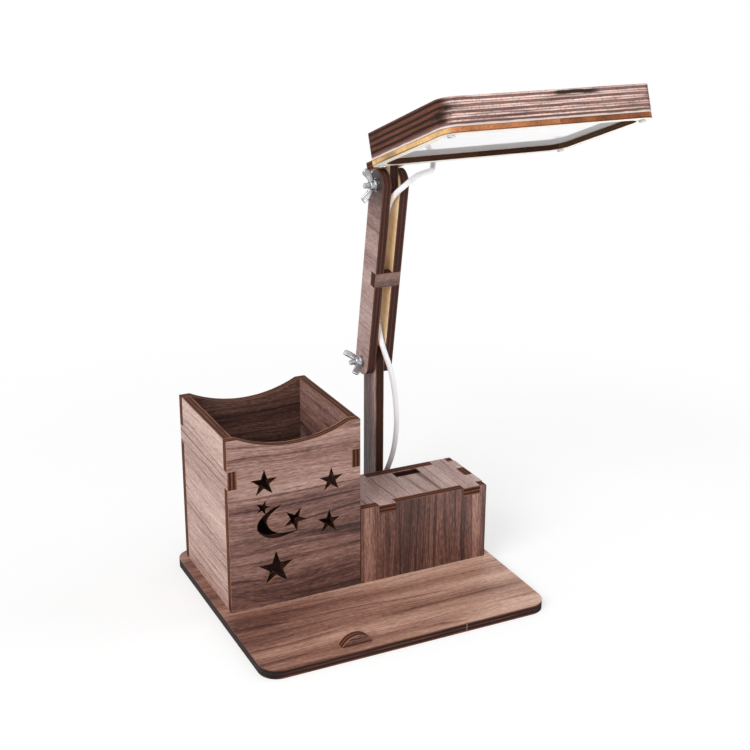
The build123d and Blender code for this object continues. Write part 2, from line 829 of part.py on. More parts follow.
nodes = {
    "base_plate": base_plate(),
    "phone_stop": phone_stop(),
    "pen_front_panel": pen_front_panel(),
    "pen_back_panel": pen_face(pen_back_y, "pen_back"),
    "pen_left_panel": pen_side_panel(pen_left_x, "pen_left"),
    "pen_right_panel": pen_side_panel(pen_right_x, "pen_right"),
    "box_front_panel": box_face(box_front_y, "box_front"),
    "box_back_panel": box_back_panel(),
    "box_left_panel": box_side_panel(box_left_x, "box_left"),
    "box_right_panel": box_side_panel(box_right_x, "box_right"),
    "box_lid": box_lid(),
    "post": post(),
    "arm_left_plate": arm_plate(-1),
    "arm_right_plate": arm_plate(1),
    "arm_bridge": arm_bridge(),
    "lower_bolt": lower_pivot * bolt(),
    "lower_washer": lower_pivot * washer(),
    "lower_wing_nut": lower_pivot * wing_nut(lower_wing_angle),
    "upper_bolt": upper_pivot * bolt(),
    "upper_washer": upper_pivot * washer(),
    "upper_wing_nut": upper_pivot * wing_nut(upper_wing_angle),
    "head_tongue": head_tongue(),
    "head_hinge_plate": head_hinge_plate(),
    "head_bottom_frame": head_bottom_frame(),
    "head_diffuser": head_diffuser(),
    "head_lower_ring": head_ring(0),
    "head_middle_ring": head_ring(1),
    "head_upper_ring": head_ring(2),
    "head_top_cover": head_top_cover(),
    "head_screws": head_screws(),
    "led_board": led_board(),
    "leds": leds(),
    "head_core": head_core(),
    "battery_tray": battery_tray(),
    "battery_cells": battery_cells(),
    "battery_contacts": battery_contacts(),
    "switch_shelf": switch_shelf(),
    "switch_body": switch_body(),
    "switch_screws": switch_screws(),
    "switch_knob": switch_knob(),
    "box_grommet": box_grommet(),
    "box_wires": box_wires(),
    "lead_lower": tube(lead_lower, lead_radius),
    "lead_middle": tube(lead_middle, lead_radius),
    "lead_upper": tube(lead_upper, lead_radius),
}

os.makedirs("parts", exist_ok=True)
for name, shape in nodes.items():
    export_step(shape, f"parts/{name}.step")

print("lower pivot", round(pivot_y, 3), round(pivot_z, 3))
print("upper pivot", round(upper_y, 3), round(upper_z, 3))
print("arm middle", round(arm_x, 3), "lead ends at", [round(value, 2) for value in lead_upper[-1]])
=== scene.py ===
"""Looks of a plywood desk lamp with a pen holder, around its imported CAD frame. Metres."""
import json
from dataclasses import dataclass
from functools import cached_property
from math import cos, pi, radians, sin

import bmesh
import bpy
import numpy as np
from mathutils import Matrix, Vector


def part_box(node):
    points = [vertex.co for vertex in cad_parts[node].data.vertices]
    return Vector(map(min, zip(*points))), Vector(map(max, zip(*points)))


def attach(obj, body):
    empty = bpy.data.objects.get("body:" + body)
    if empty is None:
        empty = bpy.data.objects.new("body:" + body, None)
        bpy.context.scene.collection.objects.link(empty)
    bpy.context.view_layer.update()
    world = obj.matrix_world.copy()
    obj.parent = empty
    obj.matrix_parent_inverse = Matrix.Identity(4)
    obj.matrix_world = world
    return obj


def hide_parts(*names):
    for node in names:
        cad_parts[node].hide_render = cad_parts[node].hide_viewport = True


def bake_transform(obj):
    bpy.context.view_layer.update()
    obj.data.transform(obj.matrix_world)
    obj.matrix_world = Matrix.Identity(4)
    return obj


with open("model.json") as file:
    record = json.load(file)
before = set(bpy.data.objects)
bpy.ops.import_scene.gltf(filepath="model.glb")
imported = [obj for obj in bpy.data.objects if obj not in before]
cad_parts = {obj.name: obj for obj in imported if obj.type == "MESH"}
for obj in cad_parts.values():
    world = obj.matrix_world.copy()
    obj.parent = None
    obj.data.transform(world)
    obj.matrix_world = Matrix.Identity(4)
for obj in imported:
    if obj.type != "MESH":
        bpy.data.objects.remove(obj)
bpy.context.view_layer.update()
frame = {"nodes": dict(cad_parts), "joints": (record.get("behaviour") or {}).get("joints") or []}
nodes = frame["nodes"]
MM = 0.001

# Camera, as the photograph was taken
camera_place = Vector((-0.28215, -0.6004, 0.3636))
camera_turn = radians(26.07)
camera_dip = radians(19.83)
camera_roll = radians(0.27)
camera_lens = 64.2
camera_sensor = 36.0

# Frames that the sheets lie in: turned about X on the two hinges
pivots = {joint["name"]: Vector(joint["pos_m"]) for joint in frame["joints"] if "pos_m" in joint}
lower_pivot = pivots["arm_swing"]
upper_pivot = pivots["head_tilt"]
arm_lean = radians(9.8)
head_lean = radians(-20.4)

# Lead: millimetres, as routed in the CAD source, and a little deeper between the arm's plates
lead_thickness = 3.0
# Steps of the lead's line from one point of its route to the next
lead_steps = 12
# From the box, up beside the post
lead_box_run = [
    (39.75, 29.0, 17.0),
    (39.75, 38.0, 17.0),
    (38.95, 45.5, 22.05),
    (37.95, 47.0, 31.45),
    (37.35, 42.5, 40.96),
    (38.35, 37.0, 48.88),
    (40.85, 34.5, 60.76),
    (41.3, 32.2, 74.02),
    (40.2, 30.4, 86.5),
    (38.3, 29.0, 97.98),
    (36.2, 28.1, 108.28),
    (33.8, 28.0, 116.79),
    (31.6, 29.8, 124.22),
]
# Between the arm's plates: across the arm, and along it from the lower pivot
lead_arm_run = [
    (-4.9, 17.1),
    (2.6, 30.5),
    (3.4, 44.2),
    (3.4, 59.4),
    (3.4, 75.5),
    (-0.9, 92.0),
]
# Under the head, from the upper pivot
lead_head_run = [
    (0.05, -3.5, -6.6),
    (0.95, -8.9, -2.2),
    (4.45, -12.0, 1.9),
    (10.5, -10.5, 5.2),
    (17.0, -8.3, 6.1),
]
# Behind the head, in the head's frame, from the middle of the lead's hole
lead_hole = (31.5, -6.5, 19.1)
lead_hole_run = [
    (-9.3, 0.7, -15.3),
    (-5.3, 6.2, -14.2),
    (-2.1, 9.9, -10.5),
    (-0.5, 10.1, -4.5),
    (0.0, 5.6, 0.0),
    (0.0, -6.5, 0.0),
]


def turned_about_x(angle):
    """Matrix that turns a sheet's own axes into the frame's, by an angle about X."""
    return Matrix.Rotation(angle, 3, "X")


arm_turn = turned_about_x(arm_lean)
head_turn = turned_about_x(head_lean)


def lead_routes():
    """Control points of the lower, middle and upper stretches, which meet halfway along a run."""
    box = [Vector(point) * MM for point in lead_box_run]
    arm = [lower_pivot + arm_turn @ Vector((0, across, along)) * MM for across, along in lead_arm_run]
    head = [upper_pivot + Vector(point) * MM for point in lead_head_run]
    low_meet = (arm[0] + arm[1]) / 2
    high_meet = (arm[-2] + arm[-1]) / 2
    behind = [upper_pivot + head_turn @ (Vector(lead_hole) + Vector(point)) * MM for point in lead_hole_run]
    return {
        "lower": box + [arm[0], low_meet],
        "middle": [low_meet] + arm[1:-1] + [high_meet],
        "upper": [high_meet, arm[-1]] + head + behind,
    }


def spline_points(route, steps):
    """Points of the smooth NURBS line whose control points are the route."""
    curve = bpy.data.curves.new("lead_line", "CURVE")
    curve.dimensions = "3D"
    curve.resolution_u = steps
    spline = curve.splines.new("NURBS")
    spline.points.add(len(route) - 1)
    for point, place in zip(spline.points, route):
        point.co = (*place, 1.0)
    spline.order_u = 3
    spline.use_endpoint_u = True
    holder = bpy.data.objects.new("lead_line", curve)
    line = bpy.data.meshes.new_from_object(holder)
    points = np.empty(len(line.vertices) * 3)
    line.vertices.foreach_get("co", points)
    bpy.data.objects.remove(holder)
    bpy.data.curves.remove(curve)
    bpy.data.meshes.remove(line)
    return points.reshape(-1, 3)


def mesh_piece(name, points, faces, smooth=True):
    """A piece at the origin, from points and faces."""
    mesh = bpy.data.meshes.new(name)
    mesh.from_pydata(points.tolist(), [], faces)
    mesh.polygons.foreach_set("use_smooth", np.full(len(mesh.polygons), smooth))
    mesh.validate()
    piece = bpy.data.objects.new(name, mesh)
    bpy.context.scene.collection.objects.link(piece)
    return piece


def ring_faces(rings, sides):
    """Quads between rings of points that close on themselves, and one cap at each end."""
    ring, side = np.meshgrid(np.arange(rings - 1), np.arange(sides), indexing="ij")
    after = (side + 1) % sides
    low, high = ring * sides, (ring + 1) * sides
    quads = np.stack([low + side, low + after, high + after, high + side], -1)
    first = list(range(sides))[::-1]
    last = list(range((rings - 1) * sides, rings * sides))
    return quads.reshape(-1, 4).tolist() + [first, last]


def round_tube(name, path, radius, sides=20):
    """A circle carried along a path: each ring is path + radius (cos t side + sin t up).

    Side is made square to the path by taking off the part of the ring before's side that lies along it.
    """
    ahead = np.gradient(path, axis=0)
    ahead /= np.linalg.norm(ahead, axis=1)[:, None]
    side = np.empty_like(ahead)
    before = np.array([1.0, 0.0, 0.0]) if abs(ahead[0, 0]) < 0.9 else np.array([0.0, 0.0, 1.0])
    for number, forward in enumerate(ahead):
        before = before - (before @ forward) * forward
        before /= np.linalg.norm(before)
        side[number] = before
    up = np.cross(ahead, side)
    turn = np.linspace(0, 2 * pi, sides, endpoint=False)
    spoke = np.cos(turn)[None, :, None] * side[:, None] + np.sin(turn)[None, :, None] * up[:, None]
    rings = path[:, None] + radius * spoke
    return mesh_piece(name, rings.reshape(-1, 3), ring_faces(len(path), sides))


def make_lead():
    """The three stretches of the lead, smooth along their NURBS lines."""
    stretches = {}
    for name, route in lead_routes().items():
        path = spline_points(route, lead_steps)
        piece = round_tube("lead_sleeve_" + name, path, lead_thickness / 2 * MM)
        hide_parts("lead_" + name)
        stretches[name] = piece
    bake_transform(stretches["lower"])
    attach(stretches["middle"], "arm")
    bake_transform(stretches["upper"])
    return stretches


lead = make_lead()

# Ear of a wing nut, in millimetres: control points (radial, axial) of the bow that it follows
ear_bow = [(1.2, 1.9), (4.6, 2.7), (8.3, 7.0)]
# Half its width and half its thickness, each at the hub and at the end
ear_width = (1.5, 2.25)
ear_thickness = (1.0, 0.7)
# How square its section is, and how far its rings crowd towards its end
ear_squareness = 4.0
ear_crowding = 1.6
# Hub of a wing nut: axial height and radius, once round its section
hub_section = [
    (0.0, 1.7), (0.0, 3.0), (0.1, 3.2), (0.25, 3.3), (1.0, 3.3), (1.12, 3.24),
    (1.2, 3.1), (1.25, 2.85), (1.35, 2.72), (1.6, 2.7), (3.1, 2.62), (3.4, 2.52),
    (3.56, 2.34), (3.6, 2.1), (3.6, 1.75), (3.4, 1.6), (0.2, 1.6),
]


def power_round(turn, squareness):
    """Cosine and sine pulled towards a square: each keeps its sign and is raised to 2 / squareness."""
    pair = np.stack([np.cos(turn), np.sin(turn)])
    return np.sign(pair) * np.abs(pair) ** (2 / squareness)


def nut_ear(steps=28, sides=28):
    """One ear of a wing nut as rings of (radial, across, axial) millimetres.

    A rounded rectangle is carried along the bow from the hub to the ear's end. Its width and thickness are
    multiplied by (1 - share^6)^(1/6), so that the end closes round.
    """
    rest = np.linspace(1, 0, steps) ** ear_crowding
    share = 1 - rest
    bow = np.stack([rest**2, 2 * rest * share, share**2], -1) @ np.array(ear_bow)
    ahead = np.gradient(bow, axis=0)
    ahead /= np.linalg.norm(ahead, axis=1)[:, None]
    closing = np.maximum(1 - share**6, 0) ** (1 / 6)
    width = np.interp(share, (0, 1), ear_width) * closing
    thick = np.interp(share, (0, 1), ear_thickness) * closing
    wide, tall = power_round(np.linspace(0, 2 * pi, sides, endpoint=False), ear_squareness)
    radial = bow[:, 0, None] - ahead[:, 1, None] * width[:, None] * wide
    axial = bow[:, 1, None] + ahead[:, 0, None] * width[:, None] * wide
    across = thick[:, None] * tall
    return np.stack([radial, across, axial], -1)


def nut_hub(sides=48):
    """The hub's section turned about the bolt, as rings of (radial, across, axial) millimetres."""
    axial, radius = np.array(hub_section + hub_section[:1]).T
    turn = np.linspace(0, 2 * pi, sides, endpoint=False)
    spread = np.broadcast_to(axial[:, None], (len(axial), sides))
    return np.stack([radius[:, None] * np.cos(turn), radius[:, None] * np.sin(turn), spread], -1)


def tidy_shell(piece):
    """Merges the doubled points of closed rings and turns all faces outwards."""
    shell = bmesh.new()
    shell.from_mesh(piece.data)
    bmesh.ops.remove_doubles(shell, verts=shell.verts, dist=1e-7)
    bmesh.ops.recalc_face_normals(shell, faces=shell.faces)
    shell.to_mesh(piece.data)
    shell.free()


def make_wing_nut(node, pivot, angle):
    """Cast wing nut in place of a CAD node: a grooved hub and two flared ears, riding on the node's body."""
    ear = nut_ear()
    hub = nut_hub()
    other = ear * np.array([-1, -1, 1])
    faces = []
    points = []
    for rings, closed in ((hub, True), (ear, False), (other, False)):
        quads = ring_faces(*rings.shape[:2])
        first = sum(len(part) for part in points)
        faces += [[first + corner for corner in quad] for quad in (quads[:-2] if closed else quads)]
        points.append(rings.reshape(-1, 3))
    radial, across, axial = np.concatenate(points).T * MM
    turned_y = radial * cos(angle) - across * sin(angle)
    turned_z = radial * sin(angle) + across * cos(angle)
    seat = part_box(node)[1].x
    place = np.stack([seat - axial, pivot.y + turned_y, pivot.z + turned_z], -1)
    piece = mesh_piece(node + "_cast", place, faces)
    tidy_shell(piece)
    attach(piece, node)
    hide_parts(node)
    return piece


# Turned as in the photograph
wing_nuts = [
    make_wing_nut("lower_wing_nut", lower_pivot, radians(31.0)),
    make_wing_nut("upper_wing_nut", upper_pivot, radians(95.0)),
]


class Wire:
    """An output socket of a shader node. Arithmetic on it adds Math nodes."""

    def __init__(self, finish, socket):
        self.finish = finish
        self.socket = socket

    def __add__(self, other):
        return self.finish.math("ADD", self, other)

    def __sub__(self, other):
        return self.finish.math("SUBTRACT", self, other)

    def __rsub__(self, other):
        return self.finish.math("SUBTRACT", other, self)

    def __mul__(self, other):
        return self.finish.math("MULTIPLY", self, other)

    def __gt__(self, other):
        return self.finish.math("GREATER_THAN", self, other)

    def __lt__(self, other):
        return self.finish.math("LESS_THAN", self, other)

    def __mod__(self, other):
        return self.finish.math("FLOORED_MODULO", self, other)

    def __abs__(self):
        return self.finish.math("ABSOLUTE", self)

    __radd__ = __add__
    __rmul__ = __mul__


class Finish:
    """Nodes of a material or the world in the making: node() adds any node, and the rest are short forms."""

    def __init__(self, owner):
        self.owner = owner
        owner.use_nodes = True
        self.tree = owner.node_tree
        self.tree.nodes.clear()

    @cached_property
    def place(self):
        """Object coordinates."""
        return self.node("TexCoord", output="Object")

    @cached_property
    def normal(self):
        """Where the surface looks."""
        return self.node("TexCoord", output="Normal")

    def node(self, kind, settings=None, sockets=None, output=0):
        """Adds a node: its settings first, then the value of each socket, or the link into it."""
        node = self.tree.nodes.new("ShaderNode" + kind)
        for name, value in (settings or {}).items():
            if name == "stops":
                fill_ramp(node.color_ramp, value)
            else:
                setattr(node, name, value)
        for name, value in (sockets or {}).items():
            if isinstance(value, Wire):
                self.tree.links.new(value.socket, node.inputs[name])
            else:
                node.inputs[name].default_value = value
        return Wire(self, node.outputs[output])

    def math(self, operation, *values):
        """Math node of one or more values."""
        return self.node("Math", {"operation": operation}, dict(enumerate(values)))

    def along(self, axis):
        """Distance along an axis of the frame."""
        return self.node("VectorMath", {"operation": "DOT_PRODUCT"}, {0: self.place, 1: axis}, "Value")

    def facing(self, axis):
        """How far the surface faces along an axis, from -1 to 1."""
        return self.node("VectorMath", {"operation": "DOT_PRODUCT"}, {0: self.normal, 1: axis}, "Value")

    def join(self, *parts):
        """Vector of three values."""
        return self.node("CombineXYZ", {}, dict(enumerate(parts)))

    def noise(self, vector, scale, shift=0.0, detail=2.0, roughness=0.5):
        """Cloudy value about 0.5 of a vector times a scale on each axis, plus a shift."""
        moves = {0: vector, 1: scale, 2: (shift, shift, shift)}
        moved = self.node("VectorMath", {"operation": "MULTIPLY_ADD"}, moves)
        sockets = {"Vector": moved, "Scale": 1.0, "Detail": detail, "Roughness": roughness}
        return self.node("TexNoise", {"noise_dimensions": "3D"}, sockets)

    def step(self, value, low, high, start=0.0, end=1.0):
        """Smooth step of a value from start at low to end at high."""
        sockets = {"Value": value, "From Min": low, "From Max": high, "To Min": start, "To Max": end}
        return self.node("MapRange", {"interpolation_type": "SMOOTHSTEP"}, sockets)

    def ramp(self, value, stops):
        """Colour that goes through the stops as the value rises."""
        return self.node("ValToRGB", {"stops": stops}, {0: value})

    def mix(self, share, first, second, blend="MIX"):
        """Colour between two others."""
        settings = {"data_type": "RGBA", "blend_type": blend, "clamp_factor": True}
        return self.node("Mix", settings, {0: share, 6: first, 7: second}, 2)

    def bump(self, height, distance):
        """Normal that follows a height."""
        return self.node("Bump", {}, {"Height": height, "Distance": distance, "Strength": 1.0})

    def done(self, **sockets):
        """Ends the material in one principled shader with these sockets."""
        sockets = {name.replace("_", " "): value for name, value in sockets.items()}
        self.surface(self.node("BsdfPrincipled", {}, sockets))
        return self.owner

    def surface(self, shader, kind="OutputMaterial"):
        """Links a shader to the surface of the output."""
        out = self.tree.nodes.new("ShaderNode" + kind)
        self.tree.links.new(shader.socket, out.inputs["Surface"])


def new_finish(name):
    """Empty node material."""
    return Finish(bpy.data.materials.new(name))


def fill_ramp(ramp, stops):
    """Puts (place, colour) stops into a colour ramp."""
    while len(ramp.elements) < len(stops):
        ramp.elements.new(1.0)
    for element, (place, colour) in zip(ramp.elements, stops):
        element.position = place
        element.color = colour


def shade(red, green, blue):
    """Linear colour of a shade written in 8-bit steps."""
    steps = np.array([red, green, blue]) / 255
    linear = np.where(steps <= 0.04045, steps / 12.92, ((steps + 0.055) / 1.055) ** 2.4)
    return (*linear.tolist(), 1.0)


# Walnut veneer, from its dark figure to its pale sapwood
walnut_tones = (
    (0.0, shade(50, 35, 33)),
    (0.25, shade(90, 61, 54)),
    (0.5, shade(141, 105, 93)),
    (0.75, shade(184, 150, 136)),
    (1.0, shade(220, 192, 178)),
)
bare_tones = (
    (0.25, shade(218, 182, 136)),
    (0.5, shade(238, 210, 168)),
    (0.78, shade(250, 232, 200)),
)
# Bare underside of the head's frame: whitewood, paler than the other bare faces, which also paints in the
# strong light from below
whitewood_and_light_tones = (
    (0.25, shade(242, 232, 216)),
    (0.5, shade(250, 244, 233)),
    (0.78, shade(253, 250, 244)),
)
pore_brown = shade(66, 44, 40)
charcoal = shade(27, 22, 22)
# Soot and burnt glue on the cuts, and also painted shade inside the pen holder
soot_and_shade_brown = shade(42, 24, 20)
veneer_edge = shade(206, 146, 98)
pale_mark = shade(196, 156, 140)

# Drift of a ply's tone along its cut, as factors
drift_tones = (
    (0.34, (0.5, 0.47, 0.49, 1)),
    (0.5, (0.85, 0.83, 0.84, 1)),
    (0.66, (1.15, 1.13, 1.12, 1)),
)

# Casts of the veneer, as factors; the mauve and the cool cast are painted reflection, the bluish-grey sheen
# on the lid, the arm's left plate and the post
warm = (1.08, 0.96, 0.88, 1)
brown = (1.07, 0.97, 0.93, 1)
pink = (1.02, 0.99, 1.03, 1)
sheen_mauve = (1.0, 1.04, 1.14, 1)
sheen_cool = (0.95, 0.95, 1.05, 1)

# Casts of a cut edge beyond the seam
grey_cast = (0.85, 0.85, 0.9, 1)
rust_cast = (0.72, 0.62, 0.6, 1)

# Plies of a cut edge by turns: two where the cut follows the grain, and two where it crosses it
charred = (shade(112, 68, 54), shade(44, 32, 30), shade(66, 58, 58), shade(40, 36, 37))
russet = (shade(126, 82, 64), shade(76, 47, 39), shade(128, 76, 55), shade(62, 36, 29))
umber = (shade(112, 72, 58), shade(74, 47, 40), shade(98, 61, 51), shade(64, 40, 34))
rosy = (shade(250, 218, 207), shade(160, 117, 109), shade(110, 65, 51), shade(44, 27, 24))
honey = (shade(208, 138, 90), shade(208, 138, 90), shade(252, 206, 142), shade(252, 206, 142))

# Axes by number
X, Y, Z = 0, 1, 2

# A surface is a face where it looks at least this far along an axis
face_limit = 0.7

# Soot at a corner: full up to the core and gone at the reach, from the sheet's ends
corner_core = 0.004
corner_reach = 0.022

# Painted shade inside the pen holder: its middle and half width, and the depths where the painted shade
# begins and is full
pen_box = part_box("pen_left_panel")
pen_half = (pen_box[1].y - pen_box[0].y) / 2 - 0.0001
pen_middle = Vector((pen_box[0].x + pen_half, pen_box[0].y + pen_half, 0))
pen_dusk = pen_box[1].z - 0.02
pen_dark = pen_box[1].z - 0.05

# Step of the noise from one sheet to the next
seed_step = 1.7

# Laser's marks: half the width of a seam, and the wander of a burn's ends
seam_half = 0.0002
burn_wander = 0.014

# Depth of the fibres on a face and of the grit on a cut
wood_relief = 0.00012


@dataclass
class Look:
    """How a sheet of plywood lies, and how its veneer and its cut edges look."""

    # Its own axes, by number: the way its faces look and the way its grain runs
    face: int = Y
    grain: int = X
    # Turn of those axes about X
    lean: float = 0.0

    # Veneer: its cast, its tone, and the change of tone per metre along and across the grain; the tone and
    # its change also paint in light and shade
    tint: tuple = (1, 1, 1, 1)
    lift: float = 0.0
    fade: tuple = (0.0, 0.0)
    # Wander of the grain in metres, growth lines per metre and how dark they are
    wave: float = 0.010
    growth: float = 120.0
    lines: float = 0.3
    # Strength of the broad figure and of the fibres
    contrast: float = 0.8
    fibres: float = 0.6
    # Listed streaks: place across the grain, half width and change of tone
    streaks: tuple = ()

    # Cut edges: colours of the plies, their number, and the pale rim of veneer
    edge: tuple = russet
    plies: int = 5
    rim: float = 0.5
    # Soot all over, at the corners of the low and the high end, and in cut-outs this far from the outline
    burn: float = 0.2
    char: tuple = (0.0, 0.0)
    sooty: float = 0.6
    hollow_from: float = 0.003
    # Burn on the front edge: middle and half length along X
    scorch: tuple = ()
    # Where along X the laser began the front edge, the cast beyond it and the colour of its mark
    seam: tuple = ()

    # The bare face, 1 or -1, and its tones
    bare: int = 0
    tones: tuple = bare_tones
    # The face that looks into the pen holder, 1 or -1, which takes painted shade that deepens downwards
    inner: int = 0


def veneer(finish, run, across, seed, look):
    """Walnut figure from the distances along and across the grain: colour and height.

    The distance across is bent by a slow and a fine noise, so that the grain wanders. Zones, bands, fibres
    and flecks are noises of the bent place, ever finer across the grain. A growth line darkens slowly and
    ends sharply, as the part after the point of the bent distance times the growth count does. Pores are
    short dark dashes.
    """
    plain = finish.join(run, across, 0.0)
    slow = finish.noise(plain, (9, 28, 0), seed, 1.0)
    ripple = finish.noise(plain, (60, 200, 0), seed + 3, 1.0)
    bent = across + (slow - 0.5) * look.wave + (ripple - 0.5) * 0.0009
    grain = finish.join(run, bent, 0.0)
    zone = finish.noise(grain, (4, 60, 0), seed, 1.0)
    band = finish.noise(grain, (12, 420, 0), seed + 5, 2.0, 0.6)
    fibre = finish.noise(grain, (46, 1250, 0), seed + 7, 2.0, 0.65)
    fleck = finish.noise(grain, (330, 1600, 0), seed + 8, 1.0)
    patch = finish.noise(grain, (16, 50, 0), seed + 9, 1.0)
    pore = finish.step(finish.noise(grain, (110, 1900, 0), seed, 1.0), 0.58, 0.72)
    phase = (bent * look.growth + zone * 3.5 + seed) % 1.0
    late = finish.step(phase, 0.74, 0.97) * finish.step(phase, 1.0, 0.97) * finish.step(patch, 0.36, 0.6)
    broad = (zone - 0.5) * look.contrast + (band - 0.5) * (0.34 * look.contrast)
    fine = (fibre - 0.5) * look.fibres + (fleck - 0.5) * 0.5
    drawn = broad + fine - late * look.lines
    # Lift and slope paint in light and shade besides the wood's own tone, such as the sheen towards the
    # base's right end and the shade low on the pen holder's front
    tone = drawn + run * look.fade[0] + across * look.fade[1] + (0.5 + look.lift)
    for place, half, change in look.streaks:
        tone = tone + finish.step(abs(bent - place), half, 0.0, 0.0, change)
    colour = finish.mix(pore * 0.35, finish.ramp(tone, walnut_tones), pore_brown)
    height = fibre * 0.4 - pore * 0.6 - late * 0.3
    return finish.mix(1.0, colour, look.tint, "MULTIPLY"), height


def bare_wood(finish, run, across, seed, tones):
    """Pale bare plywood face: soft bands and fine fibres along the grain."""
    grain = finish.join(run, across, 0.0)
    band = finish.noise(grain, (8, 160, 0), seed)
    fibre = finish.noise(grain, (50, 1500, 0), seed + 3)
    return finish.ramp(band * 0.65 + fibre * 0.35, tones)


def corner_soot(finish, run, across, halves, char):
    """Soot near a sheet's corners: one strength at the low end of its grain, another at the high end."""
    near_end = finish.step(abs(run), halves[1] - corner_reach, halves[1] - corner_core)
    near_side = finish.step(abs(across), halves[2] - corner_reach, halves[2] - corner_core)
    return near_end * near_side * ((run < 0.0) * (char[0] - char[1]) + char[1])


def cut_edge(finish, level, ends, corner, hollow, seed, look):
    """Laser-cut edge of a sheet: colour, clouds and grit.

    Level goes from -1 to 1 through the sheet. Its plies take the edge's colours by turns, each drifting in
    tone along the cut, with burnt glue lines where the ply count is whole. Ends is how far the cut crosses
    the grain. Soot gathers in clouds, at corners and in cut-outs, and a pale rim of veneer is left along
    both faces.
    """
    cloud = finish.noise(finish.place, (70, 70, 70), seed, 3.0, 0.6)
    sway = finish.noise(finish.place, (26, 26, 26), seed + 2, 3.0, 0.6)
    grit = finish.noise(finish.place, (1100, 1100, 1100), seed, 2.0)
    count = (level * 0.5 + 0.5) * look.plies + (sway - 0.5) * 0.9
    by_turns = (count * 0.5) % 1.0 > 0.5
    glue = finish.step(abs(count % 1.0 - 0.5), 0.25, 0.5)
    apart = finish.join(finish.along((1, 0, 0)), finish.along((0, 1, 0)), finish.math("FLOOR", count))
    drift = finish.noise(apart, (38, 38, 5.3), seed, 2.0, 0.6)
    along_grain = finish.mix(by_turns, look.edge[0], look.edge[1])
    across_grain = finish.mix(by_turns, look.edge[2], look.edge[3])
    colour = finish.mix(finish.step(ends, 0.2, 0.9), along_grain, across_grain)
    colour = finish.mix(1.0, colour, finish.ramp(drift, drift_tones), "MULTIPLY")
    colour = finish.mix(glue * 0.75, colour, soot_and_shade_brown)
    colour = finish.mix(hollow * look.sooty, colour, soot_and_shade_brown)
    soot = finish.step(cloud + corner, 0.9 - look.burn, 1.2 - look.burn)
    colour = finish.mix(soot, colour, charcoal)
    left = finish.step(abs(level), 0.82, 0.9) * finish.step(cloud, 0.7, 0.42) * look.rim
    colour = finish.mix(left, colour, veneer_edge)
    return finish.mix(finish.step(grit, 0.45, 0.75) * 0.45, colour, soot_and_shade_brown), cloud, grit


def front_marks(finish, rims, place_x, level, cloud, front, look):
    """The laser's marks on a front edge: a ragged burn, and the seam where the cut began, darker beyond."""
    if look.scorch:
        middle, half = look.scorch
        ragged = abs(place_x - middle) + (cloud - 0.5) * burn_wander
        burnt = finish.step(ragged, half + 0.002, half - 0.004, 0.0, 0.9)
        burnt = burnt * finish.step(abs(level + cloud - 0.4), 0.9, 0.5)
        rims = finish.mix(burnt * front, rims, charcoal)
    if look.seam:
        start, cast, mark = look.seam
        beyond = (place_x > start) * front
        rims = finish.mix(beyond, rims, finish.mix(1.0, rims, cast, "MULTIPLY"))
        line = (abs(place_x - start) < seam_half) * (abs(level) < 0.75) * front
        rims = finish.mix(line * 0.7, rims, mark)
    return rims


def node_span(name, axis):
    """Middle and half of a node's reach along an axis."""
    mesh = nodes[name].data
    points = np.empty(len(mesh.vertices) * 3)
    mesh.vertices.foreach_get("co", points)
    along = points.reshape(-1, 3) @ np.array(axis)
    return float(along.max() + along.min()) / 2, float(along.max() - along.min()) / 2


def sheet_finish(name, seed, look):
    """Walnut-faced plywood: veneer on the faces, cut plies on the edges, one face bare where asked, and
    painted shade inside the pen holder.
    """
    finish = new_finish(name + "_plywood")
    turn = turned_about_x(look.lean)
    order = (look.face, look.grain, X + Y + Z - look.face - look.grain)
    face_axis, run_axis, across_axis = [turn.col[number] for number in order]
    middles, halves = zip(*[node_span(name, axis) for axis in (face_axis, run_axis, across_axis)])
    level = (finish.along(face_axis) - middles[0]) * (1 / halves[0])
    run = finish.along(run_axis) - middles[1]
    across = finish.along(across_axis) - middles[2]
    place_x, place_y, place_z = [finish.along(axis) for axis in np.eye(3).tolist()]
    facing = finish.facing(face_axis)
    on_face = abs(facing) > face_limit

    colour, height = veneer(finish, run, across, seed, look)
    if look.bare:
        bare = bare_wood(finish, run, across, seed, look.tones)
        colour = finish.mix(facing * look.bare > face_limit, colour, bare)
    # Painted shade on the faces inside the pen holder, darker towards the bottom
    if look.inner:
        deep = finish.step(place_z, pen_dusk, pen_dark, 0.0, 0.88)
        within = (abs(place_x - pen_middle.x) < pen_half) * (abs(place_y - pen_middle.y) < pen_half)
        colour = finish.mix((facing * look.inner > face_limit) * deep * within, colour, soot_and_shade_brown)

    ends = abs(finish.facing(run_axis))
    corner = corner_soot(finish, run, across, halves, look.char)
    hollow = (abs(run) < halves[1] - look.hollow_from) * (abs(across) < halves[2] - look.hollow_from)
    rims, cloud, grit = cut_edge(finish, level, ends, corner, hollow, seed, look)
    front = finish.facing(across_axis) < -face_limit
    rims = front_marks(finish, rims, place_x, level, cloud, front, look)

    rough = finish.step(height, -0.4, 0.4, 0.62, 0.46) * on_face + 0.85 * (1 - on_face)
    relief = finish.bump(height * on_face + grit * 0.5 * (1 - on_face), wood_relief)
    return finish.done(
        Base_Color=finish.mix(on_face, rims, colour),
        Roughness=rough,
        Normal=relief,
        Specular_IOR_Level=0.2,
        Coat_Weight=on_face * 0.32,
        Coat_Roughness=0.42,
    )


